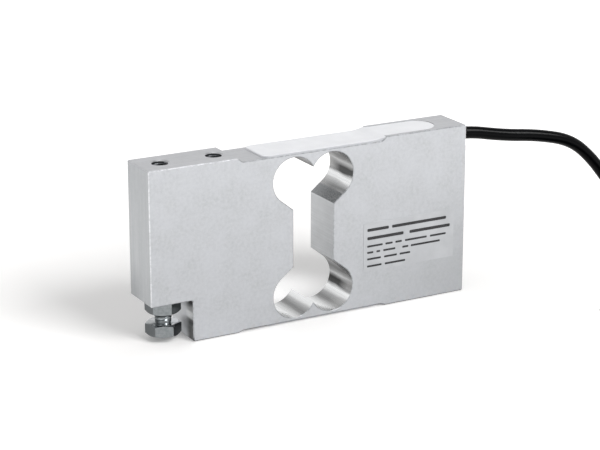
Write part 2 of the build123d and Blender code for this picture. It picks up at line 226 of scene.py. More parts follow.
def eased(value):
    """0 below 0, 1 above 1, and a soft step between them."""
    value = min(max(value, 0.0), 1.0)
    return value * value * (3 - 2 * value)


def new_object(name, data, material):
    """A piece of the object, in its material and with its slot in the library."""
    item = linked(name, data)
    data.materials.append(material)
    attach(item, "root")
    return item


def nurbs_curve(name, points, diameter, bevel_resolution=6):
    data = bpy.data.curves.new(name, "CURVE")
    data.dimensions = "3D"
    data.bevel_depth = diameter / 2
    data.bevel_resolution = bevel_resolution
    data.resolution_u = 8
    data.use_fill_caps = True
    spline = data.splines.new("NURBS")
    spline.points.add(len(points) - 1)
    for target, point in zip(spline.points, points):
        target.co = (*point, 1.0)
    spline.order_u = 3
    spline.use_endpoint_u = True
    return data


def round_rectangle(left, right, low, high, radius, steps):
    """A rectangle with round corners, given by the centres of its corners' arcs."""
    outline = []
    for across, up, start in (
        (right, high, 0), (left, high, 90), (left, low, 180), (right, low, 270)
    ):
        for step in range(steps + 1):
            turn = math.radians(start + 90 * step / steps)
            outline.append((across + radius * math.cos(turn), up + radius * math.sin(turn)))
    return outline


def around(centre, radius, angle, height):
    """A point round an upright axis that stands at centre on the x axis."""
    return (centre + radius * math.cos(angle), radius * math.sin(angle), height)


def ring_piece(shape, rings, loop=False):
    """Adds rings of points to a bmesh, each joined to the next, with flat ends.

    As a loop, the last ring joins the first one instead.
    """
    made = [[shape.verts.new(point) for point in ring] for ring in rings]
    if loop:
        made.append(made[0])
    for first, second in zip(made, made[1:]):
        for i in range(len(first)):
            j = (i + 1) % len(first)
            shape.faces.new((first[i], first[j], second[j], second[i]))
    if not loop:
        shape.faces.new(made[0][::-1])
        shape.faces.new(made[-1])


def box_piece(shape, corners):
    """Adds a box from its eight corners, in the order of three nested loops."""
    made = [shape.verts.new(corner) for corner in corners]
    for face in (
        (0, 1, 3, 2), (4, 6, 7, 5), (0, 4, 5, 1), (2, 3, 7, 6), (0, 2, 6, 4), (1, 5, 7, 3)
    ):
        shape.faces.new([made[index] for index in face])


def sheet_piece(shape, top, bottom, columns):
    """Adds a sheet from two grids of points, its top and its bottom, closed at the rim."""
    rows = len(top) // columns
    upper = [shape.verts.new(point) for point in top]
    lower = [shape.verts.new(point) for point in bottom]
    for row in range(rows - 1):
        for column in range(columns - 1):
            a = row * columns + column
            b, c, d = a + 1, a + 1 + columns, a + columns
            shape.faces.new((upper[a], upper[b], upper[c], upper[d]))
            shape.faces.new((lower[d], lower[c], lower[b], lower[a]))
    rim = [row * columns for row in range(rows)]
    rim += [(rows - 1) * columns + column for column in range(1, columns)]
    rim += [row * columns + columns - 1 for row in range(rows - 2, -1, -1)]
    rim += list(range(columns - 2, 0, -1))
    for first, second in zip(rim, rim[1:] + rim[:1]):
        shape.faces.new((upper[first], upper[second], lower[second], lower[first]))


def weld(shape):
    bmesh.ops.remove_doubles(shape, verts=shape.verts, dist=1e-7)
    bmesh.ops.dissolve_degenerate(shape, dist=1e-7, edges=shape.edges)


def mesh_of(name, shape):
    """Turns a bmesh into a mesh with its faces outward."""
    bmesh.ops.recalc_face_normals(shape, faces=shape.faces)
    mesh = bpy.data.meshes.new(name)
    shape.to_mesh(mesh)
    shape.free()
    return mesh


def smooth_below(mesh, degrees):
    """Shades a mesh smooth, apart from edges that turn by more than an angle."""
    for face in mesh.polygons:
        face.use_smooth = True
    mesh.set_sharp_from_angle(angle=math.radians(degrees))


def finish_mesh(name, shape, material, sharp):
    mesh = mesh_of(name, shape)
    smooth_below(mesh, sharp)
    return new_object(name, mesh, material)


def soften(item, width, segments, angle):
    bevel = item.modifiers.new("soft_edges", "BEVEL")
    bevel.width = width
    bevel.segments = segments
    bevel.limit_method = "ANGLE"
    bevel.angle_limit = math.radians(angle)
    bevel.harden_normals = False


# ---------------------------------------- cable

CABLE_DIAMETER = 0.0055
COIL_CENTRE = Vector((0.184, -0.0355))
OUTER_TRACK = 0.0330
TOP_LAYER = 0.01985

LEAD_ROUTE = [
    (0.0570, 0.0, 0.0694),
    (0.0795, 0.0, 0.0694),
    (0.1010, 0.0, 0.0646),
    (0.1200, 0.0, 0.0622),
    (0.1380, -0.0004, 0.0576),
    (0.1500, -0.0009, 0.0472),
    (0.1595, -0.0014, 0.0350),
    (0.1700, -0.0021, 0.0261),
    (0.1830, -0.0030, 0.0205),
    (0.1970, -0.0050, 0.01985),
]
TAIL_ROUTE = [
    (0.1800, -0.0725, 0.0030),
    (0.1660, -0.0755, 0.00275),
    (0.1530, -0.0750, 0.00275),
]


def coil_turns():
    """The coil's turns, wound clockwise: in, out, in and out again, layer under layer.

    Each turn moves over to the next track, or drops to the next layer, once the turn
    before it has left that place, so the region where they do it slips back layer by layer.
    """
    steps_per_turn = 16
    # In degrees: the start, all of the turns, and a move's first place, width and slip
    start_angle, total, first, width, slip = 66.6, 4103.0, 244.0, 70.0, 17.0
    # The curve runs inside its points, so they lie a little further out
    overshoot = 1 / math.cos(math.pi / steps_per_turn)
    shifts, falls = [], []
    for layer in range(4):
        start = 1080 * layer + first - 2 * slip * layer
        way = -1 if layer % 2 else 1
        shifts += [(start, way), (start + 360, way)]
        if layer < 3:
            falls.append(start + 720 - slip)
    points = []
    for step in range(1, int(total * steps_per_turn / 360) + 1):
        turned = step * 360.0 / steps_per_turn
        track = sum(way * eased((turned - start) / width) for start, way in shifts)
        layer = sum(eased((turned - start) / width) for start in falls)
        reach = (OUTER_TRACK - CABLE_DIAMETER * track) * overshoot
        angle = math.radians(start_angle - turned)
        points.append(
            (
                COIL_CENTRE.x + reach * math.cos(angle),
                COIL_CENTRE.y + reach * math.sin(angle),
                TOP_LAYER - CABLE_DIAMETER * layer,
            )
        )
    return points


def cable_jacket():
    """Black plastic, a little wavy, with a weak gloss."""
    nodes = Nodes(bpy.data.materials.new("cable_jacket"))
    wave = nodes.noise(nodes.place, 260, 2)
    fine = nodes.noise(nodes.place, 2600, 3)
    return nodes.set(
        colour=nodes.mix(nodes.noise(nodes.place, 90, 2), rgb(1, 1, 2), rgb(4, 5, 6)),
        roughness=nodes.ranged(fine, *NOISE_SPAN, 0.14, 0.22),
        specular=0.055,
        normal=nodes.bump(nodes.total(wave, nodes.product(fine, 0.25)), 0.12, 0.0004),
    )


cable_data = nurbs_curve("signal_cable", LEAD_ROUTE + coil_turns() + TAIL_ROUTE, CABLE_DIAMETER)
cable = new_object("signal_cable", cable_data, cable_jacket())
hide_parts("cable_lead", "cable_coil", "cable_tail")


# ---------------------------------------- materials

# Painted reflection bands round a bore's wall: tones by the angle from its right-hand side, in
# degrees
BORE_PAINTED_REFLECTIONS = (
    (-125, 0.55), (-104, 0.80), (-84, 0.86), (-66, 0.74), (-59, 0.40), (-52, 0.34), (-46, 0.52),
    (-38, 0.62), (-33, 0.90), (-22, 0.94), (-17, 0.50), (-12, 0.05), (2, 0.03), (8, 0.26),
    (13, 0.54), (20, 0.26), (32, 0.08), (60, 0.12),
)

# Painted reflection of the screw and the nut on the notch's wall near the front: tones by height in
# metres
NOTCH_PAINTED_REFLECTION = (
    (0.0, 0.12), (0.0035, 0.18), (0.0060, 0.42), (0.0074, 0.20), (0.0088, 0.30), (0.0096, 1.0),
    (0.0118, 1.0), (0.0128, 0.52), (0.0148, 0.42), (0.0161, 0.09), (0.0180, 0.09),
)


def painted_bore_walls(nodes, spot):
    """The bores' walls: painted reflection bands, which waver a little, and where they are."""
    x, y, z = spot
    is_lower = nodes.math("LESS_THAN", z, WINDOW_MIDDLE)
    centre_z = nodes.ranged(is_lower, 0, 1, UPPER_BORE_Z, LOWER_BORE_Z)
    across = nodes.math("SUBTRACT", x, nodes.product(nodes.math("SIGN", x), BORE_X))
    above = nodes.math("SUBTRACT", z, centre_z)
    waver = nodes.noise(nodes.stretched((1, 0.25, 1)), 220, 2, 0.5)
    degrees = nodes.total(
        nodes.product(nodes.math("ARCTAN2", above, across), math.degrees(1)),
        nodes.product(is_lower, 9.0),
        nodes.ranged(waver, *NOISE_SPAN, -3.0, 3.0),
    )
    painted_bore_tone = nodes.toned(degrees, -130, 70, BORE_PAINTED_REFLECTIONS)

    # The right bores' dark painted reflection bands fade: at the back in the upper one, in front in
    # the lower one
    depth = nodes.product(y, nodes.ranged(is_lower, 0, 1, 1, -1))
    depth = nodes.total(depth, nodes.ranged(is_lower, 0, 1, 0, 0.002))
    fading = nodes.product(
        nodes.ranged(depth, 0.001, 0.008, 0, 0.85),
        nodes.ranged(degrees, 20, 30, 1, 0),
        nodes.ranged(x, -0.001, 0.001),
    )
    faded_tone = nodes.ranged(degrees, -38, -26, 0.64, 0.36)
    painted_bore_tone = nodes.mix(fading, painted_bore_tone, nodes.mix(1.0, painted_bore_tone, faded_tone, "LIGHTEN"))
    # Painted light: the lower bores' bands are lifted a little toward white below -22 degrees
    painted_lift = nodes.product(is_lower, nodes.ranged(degrees, -32, -22, 0.14, 0))
    painted_bore_tone = nodes.mix(painted_lift, painted_bore_tone, (1, 1, 1, 1))

    reach = nodes.distance(across, above)
    return painted_bore_tone, nodes.ranged(reach, BORE_RADIUS + 0.00007, BORE_RADIUS + 0.00016, 1, 0)


def window_walls(nodes, spot, level, cloud, through):
    """The window's walls: plain slot sides, blotched cut flats and bores with painted reflections.
    """
    slot = nodes.fade(cloud, *NOISE_SPAN, rgb(196, 198, 200), rgb(206, 208, 210))
    blotch = nodes.noise(nodes.place, 1700, 5, 0.8)
    # The cut flats: dark blotches, partly their milled finish and partly painted reflection,
    # lighter toward the back
    cut = nodes.fade(blotch, 0.32, 0.68, rgb(84, 86, 88), rgb(178, 180, 182))
    cut = nodes.mix(nodes.ranged(spot[1], -0.002, 0.009, 0, 0.55), cut, rgb(196, 198, 200))
    tone = nodes.fade(level, 0.3, 0.5, slot, cut)
    painted_bore_tone, near_bore = painted_bore_walls(nodes, spot)
    tone = nodes.mix(near_bore, tone, painted_bore_tone)
    tone = nodes.mix(nodes.ranged(through, *NOISE_SPAN, 0.14, 0), tone, rgb(60, 62, 64))
    return tone, near_bore


def in_window(nodes, spot, lie):
    """Where the window's walls are: between the webs, and not on the front or the back."""
    x, _, z = spot
    end, top, bottom = BORE_X + BORE_RADIUS, UPPER_BORE_Z + BORE_RADIUS, LOWER_BORE_Z - BORE_RADIUS
    return nodes.product(
        nodes.ranged(nodes.math("ABSOLUTE", x), end + 0.0002, end + 0.0008, 1, 0),
        nodes.ranged(z, top + 0.00025, top + 0.00065, 1, 0),
        nodes.ranged(z, bottom - 0.0007, bottom - 0.0003),
        nodes.ranged(lie, 0.2, 0.3, 1, 0),
    )


def in_tapped_holes(nodes, spot, level):
    """Where the tapped holes' walls are: at the same places along x and minus x."""
    x, y, _ = spot
    found = 0.0
    for place in HOLE_PLACES:
        across = nodes.math("SUBTRACT", nodes.math("ABSOLUTE", x), place)
        reach = nodes.distance(across, y)
        inside = nodes.ranged(reach, TAP_RADIUS + 0.0002, TAP_RADIUS + 0.0005, 1, 0)
        found = nodes.math("MAXIMUM", inside, found)
    return nodes.product(found, nodes.ranged(level, 0.4, 0.6, 1, 0))


def broad_face(nodes, spot, cloud, grit):
    """Front and back: mottled, with painted shade toward their lower right."""
    x, _, z = spot
    tone = nodes.fade(cloud, 0.35, 0.65, rgb(175, 177, 180), rgb(184, 186, 190))
    tone = nodes.mix(nodes.ranged(grit, 0.35, 0.65, 0, 0.75), tone, rgb(194, 196, 199))
    # Painted shade toward the lower right of the front and back
    painted_lower_right_shade = nodes.product(
        nodes.ranged(x, 0.01, HALF_LENGTH), nodes.ranged(z, 0.01, 0.05, 0.38, 0)
    )
    return nodes.mix(painted_lower_right_shade, tone, rgb(150, 152, 154))


def end_face(nodes, spot, down):
    """The ends: streaked, with painted shade toward the top, and darker in a patch low down."""
    _, y, z = spot
    tone = nodes.fade(down, *NOISE_SPAN, rgb(177, 180, 182), rgb(192, 194, 196))
    # Painted shade, darker toward the top
    tone = nodes.mix(nodes.ranged(z, 0.035, 0.072, 0.05, 0.5), tone, rgb(154, 156, 159))
    # Darker in a patch low down, across the middle of the end
    low_dark_patch = nodes.product(nodes.ranged(z, 0.021, 0.033, 0.5, 0), nodes.ranged(y, -0.003, 0.004))
    return nodes.mix(low_dark_patch, tone, rgb(150, 152, 155))


def broken_edges(nodes, spot, grit):
    """The broken edges: painted highlights at the load end, painted shade at the base, and a white
    painted highlight high on the far end.
    """
    x, _, z = spot
    base, white_from, top_highlight_until = (0.0012, 0.0020), (0.0655, 0.0665), (-0.028, -0.027)
    # Painted highlight on the load end's edges and on the top's edges toward the load end
    painted_edge_highlight = nodes.fade(grit, 0.4, 0.6, rgb(196, 198, 201), rgb(222, 223, 226))
    plain = nodes.fade(grit, 0.4, 0.6, rgb(158, 160, 163), rgb(186, 188, 191))
    elsewhere = nodes.ranged(x, 0.0006 - HALF_LENGTH, 0.0010 - HALF_LENGTH)
    upper_edge = nodes.product(
        nodes.ranged(z, TOP - 0.0007, TOP - 0.0004), nodes.ranged(x, *top_highlight_until, 1, 0)
    )
    tone = nodes.mix(nodes.math("SUBTRACT", elsewhere, upper_edge), painted_edge_highlight, plain)
    # Painted shade along the edges at the base
    tone = nodes.fade(z, *base, rgb(92, 94, 97), tone)
    # Painted highlight high on the far end's edges
    far_end_painted_highlight = nodes.fade(z, *white_from, rgb(150, 152, 155), rgb(250, 250, 251))
    return nodes.fade(x, HALF_LENGTH - 0.0006, HALF_LENGTH - 0.0004, tone, far_end_painted_highlight)


def notch_wall(nodes, spot, across):
    """The notch's end wall: a painted reflection of the screw and the nut, pale further back, and
    where it is.
    """
    x, y, z = spot
    outer_end, inner_end = (-0.0735, -0.0725), (-0.050, -0.049)
    # Painted reflection of the screw and the nut, by height
    painted_screw_reflection = nodes.toned(z, 0, NOTCH_PAINTED_REFLECTION[-1][0], NOTCH_PAINTED_REFLECTION)
    found = nodes.product(
        nodes.ranged(across, -0.95, -0.8, 1, 0),
        nodes.ranged(x, *outer_end),
        nodes.ranged(x, *inner_end, 1, 0),
    )
    return nodes.fade(y, -0.0065, -0.0025, painted_screw_reflection, rgb(226, 228, 231)), found


def machined_aluminium():
    """Milled aluminium: mottled broad faces, streaked ends and tops, painted highlights and shade,
    and bright bores with painted reflections.
    """
    nodes = Nodes(bpy.data.materials.new("machined_aluminium"))
    spot = nodes.parts(nodes.place)
    across, forward, upward = nodes.facing()
    lie = nodes.math("ABSOLUTE", forward)
    level = nodes.math("ABSOLUTE", upward)
    broad = nodes.ranged(lie, *STRAIGHT)
    edges = nodes.product(nodes.ranged(lie, 0.3, 0.5), nodes.ranged(lie, *STRAIGHT, 1, 0))
    ends = nodes.ranged(nodes.math("ABSOLUTE", across), 0.8, 0.95)
    window = in_window(nodes, spot, lie)

    cloud = nodes.noise(nodes.place, 95, 4, 0.6)
    grit = nodes.noise(nodes.place, 700, 4, 0.7)
    speck = nodes.noise(nodes.place, 3200, 2, 0.6)
    down = nodes.noise(nodes.stretched((1, 1, 0.02)), 1500, 3, 0.6)
    along = nodes.noise(nodes.stretched((0.03, 1, 1)), 900, 3, 0.6)
    through = nodes.noise(nodes.stretched((1, 0.02, 1)), 1600, 3, 0.6)

    tone = nodes.fade(along, *NOISE_SPAN, rgb(200, 201, 204), rgb(211, 212, 215))
    tone = nodes.mix(ends, tone, end_face(nodes, spot, down))
    tone = nodes.mix(broad, tone, broad_face(nodes, spot, cloud, grit))
    tone = nodes.mix(edges, tone, broken_edges(nodes, spot, grit))
    tone = nodes.mix(in_tapped_holes(nodes, spot, level), tone, rgb(86, 88, 90))
    notch_painted_tone, notch = notch_wall(nodes, spot, across)
    tone = nodes.mix(notch, tone, notch_painted_tone)
    window_tone, near_bore = window_walls(nodes, spot, level, cloud, through)
    tone = nodes.mix(window, tone, window_tone)

    matt = nodes.ranged(grit, *NOISE_SPAN, 0.36, 0.48)
    sleek = nodes.ranged(through, *NOISE_SPAN, 0.16, 0.26)
    relief = nodes.total(
        nodes.product(grit, 0.7),
        nodes.product(speck, 0.3),
        nodes.product(through, window, 0.12),
        nodes.product(down, ends, 0.25),
    )
    return nodes.set(
        colour=tone,
        metallic=0.9,
        roughness=nodes.mix_numbers(nodes.product(window, near_bore), matt, sleek),
        normal=nodes.bump(relief, 0.12, 0.0002),
    )


def plated_steel():
    """Zinc plate: painted shade on faces turned left, darker painted shade on faces turned right,
    and a painted highlight on half of the head's top face.
    """
    nodes = Nodes(bpy.data.materials.new("plated_steel"))
    cloud = nodes.noise(nodes.place, 700, 3, 0.6)
    scratches = nodes.noise(nodes.stretched((1, 1, 0.08)), 2600, 3, 0.7)
    across, _, upward = nodes.facing()
    upright = nodes.ranged(nodes.math("ABSOLUTE", upward), 0.3, 0.5, 1, 0)
    # Painted shade on upright faces turned left, and darker painted shade on those turned right
    left_painted_shade = nodes.product(upright, nodes.ranged(across, -0.9, -0.8, 1, 0))
    right_painted_shade = nodes.product(upright, nodes.ranged(across, 0.4, 0.5))
    x = nodes.parts(nodes.place)[0]
    # Painted highlight: faces turned up go from grey to nearly white along x
    top_painted_highlight = nodes.fade(
        x, SCREW_X - 0.00225, SCREW_X + 0.00275, rgb(158, 161, 163), rgb(242, 243, 244)
    )
    tone = nodes.fade(cloud, *NOISE_SPAN, rgb(130, 135, 137), rgb(150, 154, 156))
    tone = nodes.mix(left_painted_shade, tone, rgb(98, 102, 104))
    tone = nodes.mix(right_painted_shade, tone, rgb(78, 82, 84))
    return nodes.set(
        colour=nodes.fade(upward, 0.8, 0.95, tone, top_painted_highlight),
        metallic=1.0,
        roughness=nodes.ranged(scratches, *NOISE_SPAN, 0.08, 0.20),
        normal=nodes.bump(nodes.total(cloud, scratches), 0.03, 0.0001),
    )


def silicone():
    """White silicone, softly uneven, with painted shade on its front rim."""
    nodes = Nodes(bpy.data.materials.new("silicone"))
    swell = nodes.noise(nodes.place, 110, 2, 0.5)
    fine = nodes.noise(nodes.place, 1500, 3, 0.6)
    tone = nodes.fade(swell, *NOISE_SPAN, rgb(231, 232, 235), rgb(238, 239, 242))
    return nodes.set(
        # The front rim's darker tone is painted shade
        colour=nodes.fade(nodes.facing()[1], -0.7, -0.35, rgb(176, 178, 182), tone),
        roughness=nodes.ranged(fine, *NOISE_SPAN, 0.36, 0.5),
        normal=nodes.bump(nodes.total(swell, nodes.product(fine, 0.04)), 0.3, 0.0008),
    )


def moulded(name, low, high, roughness, grain=1800, metallic=0.0, bump=0.06):
    """A plain material with a little cloudiness and a fine grain, for the small pieces."""
    nodes = Nodes(bpy.data.materials.new(name))
    cloud = nodes.noise(nodes.place, grain / 6, 2, 0.5)
    fine = nodes.noise(nodes.place, grain, 3, 0.6)
    return nodes.set(
        colour=nodes.fade(cloud, *NOISE_SPAN, low, high),
        metallic=metallic,
        roughness=nodes.ranged(fine, *NOISE_SPAN, roughness - 0.06, roughness + 0.06),
        normal=nodes.bump(fine, bump, 0.0001),
    )


aluminium, steel, sealant = machined_aluminium(), plated_steel(), silicone()
tapped = moulded("tapped_aluminium", rgb(96, 98, 101), rgb(128, 130, 133), 0.3, metallic=0.95)
film = moulded("label_film", rgb(177, 179, 182), rgb(187, 189, 192), 0.36, 900, 0.6, 0.04)
print_ink = moulded("print_ink", rgb(24, 24, 26), rgb(40, 40, 43), 0.5)
gauge_film = moulded("gauge_film", rgb(196, 138, 46), rgb(214, 160, 70), 0.35)
copper = moulded("terminal_copper", rgb(196, 120, 80), rgb(214, 142, 100), 0.3, metallic=0.9)
fine_wire = moulded("wire_insulation", rgb(160, 34, 26), rgb(186, 46, 34), 0.35)
board = moulded("circuit_board", rgb(20, 92, 48), rgb(28, 108, 60), 0.4)
resistor = moulded("resistor_body", rgb(22, 22, 24), rgb(34, 34, 36), 0.4)
brass = moulded("crimp_brass", rgb(190, 160, 90), rgb(208, 180, 112), 0.28, metallic=1.0)
tie_nylon = moulded("tie_plastic", rgb(24, 24, 25), rgb(38, 38, 40), 0.38)
tinned = moulded("tinned_copper", rgb(196, 196, 192), rgb(216, 216, 212), 0.3, metallic=1.0)
insulation = {
    "red": moulded("core_red", rgb(178, 26, 22), rgb(198, 38, 30), 0.32),
    "green": moulded("core_green", rgb(24, 122, 52), rgb(34, 142, 66), 0.32),
    "black": moulded("core_black", rgb(20, 20, 22), rgb(32, 32, 34), 0.32),
    "white": moulded("core_white", rgb(226, 226, 224), rgb(238, 238, 236), 0.32),
}

# The pieces that stay as the frame has them
dressed = {"rating_label": film, "compensation_board": board, "cable_crimp": brass}
for side in ("upper", "lower"):
    dressed[f"{side}_terminal_strip"] = copper
    dressed[f"{side}_gauge_wires"] = fine_wire
    for end in ("load_end", "fixed_end"):
        dressed[f"{side}_gauge_{end}"] = gauge_film
for kind in ("zero_balance", "span", "temperature"):
    dressed[f"{kind}_resistor"] = resistor
for colour, material in insulation.items():
    dressed[f"{colour}_core"] = material
for name, material in dressed.items():
    for slot in cad_nodes[name].material_slots:
        slot.material = material


# ---------------------------------------- screw, nut and threads

RING_STEPS = 72


def screw_ring(radii, heights, turn):
    """Points round the stop screw's axis, for a hexagon turned by an angle in degrees."""
    angles = [math.radians(turn - 30 + 360 * i / RING_STEPS) for i in range(RING_STEPS)]
    return [around(SCREW_X, *place) for place in zip(radii, angles, heights)]


def circle(radius, height, turn):
    return screw_ring([radius] * RING_STEPS, [height] * RING_STEPS, turn)


def hexagon_rings(low, high, turn, inner, lip=0.0):
    """Rings of a hexagon round a hole or a shank, with its corners turned at 30 degrees."""
    slope, edge, rim = math.tan(math.radians(30)), 0.00004, FACE_RADIUS - 0.0001
    radii = [
        HALF_FLATS / math.cos(math.radians((360 * i / RING_STEPS) % 60 - 30))
        for i in range(RING_STEPS)
    ]
    drops = [max(0.0, radius - FACE_RADIUS) * slope for radius in radii]
    return [
        circle(inner + lip, low, turn),
        circle(rim, low, turn),
        screw_ring(radii, [low + drop + edge for drop in drops], turn),
        screw_ring(radii, [high - drop - edge for drop in drops], turn),
        circle(rim, high, turn),
        circle(inner + lip, high, turn),
    ]


def threaded_shank(shape, low, high, run_in, run_out):
    """A screw thread as one helical sheet of facets, closed and fading out at both ends."""
    steps = 48
    profile = ((0.0, 1.0), (0.0625, 1.0), (0.375, 0.0), (0.625, 0.0), (0.9375, 1.0))
    rows = []
    for turn in range(int((high - low) / THREAD_PITCH) + 2):
        for offset, share in profile:
            row = []
            for step in range(steps):
                height = low + THREAD_PITCH * (turn - 1 + offset + step / steps)
                height = min(max(height, low), high)
                fade = min(eased((height - low) / run_in), eased((high - height) / run_out))
                radius = THREAD_ROOT + (THREAD_CREST - THREAD_ROOT) * share * fade
                row.append(around(SCREW_X, radius, 2 * math.pi * step / steps, height))
            rows.append(row)
    points = [[shape.verts.new(point) for point in row] for row in rows]
    for row in range(len(rows)):
        for step in range(steps):
            # The last facet of a turn joins the first one of the next turn
            over = row if step + 1 < steps else row + len(profile)
            if over + 1 >= len(rows):
                continue
            after = (step + 1) % steps
            shape.faces.new(
                (points[row][step], points[over][after], points[over + 1][after],
                 points[row + 1][step])
            )
    weld(shape)
    open_edges = [edge for edge in shape.edges if edge.is_boundary]
    bmesh.ops.holes_fill(shape, edges=open_edges, sides=0)


def finish_fastener(name, shape):
    sharp, edge = 28, 0.00012
    item = finish_mesh(name, shape, steel, sharp)
    soften(item, edge, 2, sharp)
    return item


def build_stop_screw():
    """The screw, head down, with a thread that fades out above the head."""
    turn, run_in, run_out = 9.0, 0.0060, 0.0009
    shape = bmesh.new()
    threaded_shank(shape, HEAD_TOP - 0.0004, SHANK_TOP, run_in, run_out)
    rings = hexagon_rings(HEAD_BASE, HEAD_TOP, turn, THREAD_ROOT)
    rings.append(circle(THREAD_ROOT - 0.0002, HEAD_TOP + 0.0001, turn))
    ring_piece(shape, rings)
    item = finish_fastener("stop_screw_threaded", shape)
    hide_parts("stop_screw")


def build_jam_nut():
    """The nut, with a hole that opens out at both faces."""
    turn, lip = 3.0, 0.0004
    shape = bmesh.new()
    rings = hexagon_rings(NUT_BASE, NUT_TOP, turn, NUT_BORE, lip)
    rings.insert(0, circle(NUT_BORE, NUT_BASE + lip, turn))
    rings.append(circle(NUT_BORE, NUT_TOP - lip, turn))
    ring_piece(shape, rings, loop=True)
    item = finish_fastener("jam_nut_turned", shape)
    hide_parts("jam_nut")


def thread_ridge(shape, centre, start, way, depth):
    """A closed helical ridge that stands in from a tapped hole's wall, fading at its ends."""
    steps, run_out = 40, 14
    wall, crest = TAP_RADIUS + 0.00001, TAP_RADIUS - 0.00026
    count = int(depth / THREAD_PITCH * steps)
    section = ((wall, -0.44), (crest, -0.08), (crest, 0.08), (wall, 0.44))
    rows = []
    for step in range(count + 1):
        angle = 2 * math.pi * step / steps
        fade = min(1.0, step / run_out, (count - step) / run_out + 0.02) * 0.98 + 0.02
        row = []
        for radius, offset in section:
            reach = wall + (radius - wall) * fade
            height = start + way * (step / steps + offset + 0.45) * THREAD_PITCH
            row.append(around(centre, reach, angle, height))
        rows.append(row)
    ring_piece(shape, rows)


def build_hole_threads():
    """Threads down the load end's holes and up the fixed end's."""
    run_in, depth = 0.0009, 0.0130
    shape = bmesh.new()
    for place in HOLE_PLACES:
        thread_ridge(shape, -place, TOP - run_in, -1, depth)
    for place in HOLE_PLACES:
        thread_ridge(shape, place, run_in, 1, depth)
    finish_mesh("hole_threads", shape, tapped, 30)


# ---------------------------------------- spring body


def flat_wedges(shape):
    """Wedges that bring the flats between slot and bores to the bores' tangents."""
    clear_of_bore, past_corner, inward, edge, past = 0.000004, 0.00003, 0.004, 0.0003, 0.0004
    rise = (UPPER_BORE_Z - LOWER_BORE_Z) / 2
    to_centre = Vector((BORE_X - HALF_SLOT, rise - SLOT_CORNER))
    touch = math.asin((BORE_RADIUS - clear_of_bore) / to_centre.length)
    bearing = math.atan2(to_centre.y, to_centre.x) - touch
    line = Vector((math.cos(bearing), math.sin(bearing)))
    outward = Vector((line.y, -line.x))
    corner = Vector((HALF_SLOT, SLOT_CORNER))
    hub = Vector((BORE_X - inward, rise - inward))
    run = to_centre.length * math.cos(touch)
    stations = (
        (-HALF_WIDTH - past, edge + past),
        (-HALF_WIDTH + edge, 0.0),
        (HALF_WIDTH - edge, 0.0),
        (HALF_WIDTH + past, edge + past),
    )
    for side in (-1, 1):
        for up in (-1, 1):
            rings = []
            for y, offset in stations:
                slide = (offset - outward.x * offset) / line.x
                start = corner + outward * offset + line * slide - line * past_corner
                end = corner + outward * offset + line * run
                rings.append(
                    [(side * p.x, y, WINDOW_MIDDLE + up * p.y) for p in (start, end, hub)]
                )
            ring_piece(shape, rings)


def pocket_lip(shape):
    """A shallow cut that makes the pocket's round end longer."""
    depth, past = 0.0015, 0.0006
    reach, centre = POCKET_HALF + 0.00002, POCKET_APEX - POCKET_HALF
    turns = [math.radians(t) for t in range(-90, 91, 6)]
    outline = [(centre + reach * math.cos(t), reach * math.sin(t)) for t in turns]
    outline += [(POCKET_END - POCKET_HALF, reach), (POCKET_END - POCKET_HALF, -reach)]
    ring_piece(shape, [[(x, y, z) for x, y in outline] for z in (TOP - depth, TOP + past)])


def build_spring_body():
    """The frame's body with the wedges and the lip cut out of it."""
    shape = bmesh.new()
    flat_wedges(shape)
    pocket_lip(shape)
    cutter = linked("window_cutter", mesh_of("window_cutter", shape))

    mesh = cad_nodes["spring_body"].data.copy()
    mesh.name = "spring_body_machined"
    mesh.materials.clear()
    item = new_object("spring_body_machined", mesh, aluminium)
    cut = item.modifiers.new("flats", "BOOLEAN")
    cut.operation, cut.solver, cut.object = "DIFFERENCE", "EXACT", cutter
    graph = bpy.context.evaluated_depsgraph_get()
    final = bpy.data.meshes.new_from_object(item.evaluated_get(graph))
    item.modifiers.clear()
    item.data = final
    bpy.data.objects.remove(cutter)
    final.materials.clear()
    final.materials.append(aluminium)
    if "custom_normal" in final.attributes:
        final.attributes.remove(final.attributes["custom_normal"])
    for face in final.polygons:
        face.material_index = 0
    smooth_below(final, 18)
    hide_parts("spring_body")


build_spring_body()
build_stop_screw()
build_jam_nut()
build_hole_threads()


# ---------------------------------------- seals

ROUND_START = POCKET_APEX - POCKET_HALF


def seal_half_width(x):
    """Half the seal's width: a pad with round corners, then the pocket with a round end."""
    step_start, step_length = RAMP_TOP - 0.0006, 0.0012
    if x < SEAL_START + PAD_CORNER:
        across = SEAL_START + PAD_CORNER - x
        return PAD_HALF - PAD_CORNER + math.sqrt(max(0.0, PAD_CORNER**2 - across**2))
    if x < step_start:
        return PAD_HALF
    if x < ROUND_START:
        return PAD_HALF + (POCKET_HALF - PAD_HALF) * eased((x - step_start) / step_length)
    return math.sqrt(max(1e-10, POCKET_HALF**2 - (x - ROUND_START) ** 2))


def seal_heights(x):
    """The seal's underside and its crown, which both climb from the pad to the pocket."""
    pad_crown, crown_rise, climb_start, climb_length = 0.07395, 0.00093, 0.0285, 0.0076
    pad_ground, ground_rise, thinnest = 0.07322, 0.00175, 0.00012
    crown = pad_crown + crown_rise * eased((x - climb_start) / climb_length)
    ramp = min(max((x - RAMP_FOOT) / (RAMP_TOP - RAMP_FOOT), 0), 1)
    return min(pad_ground + ground_rise * ramp, crown - thinnest), crown


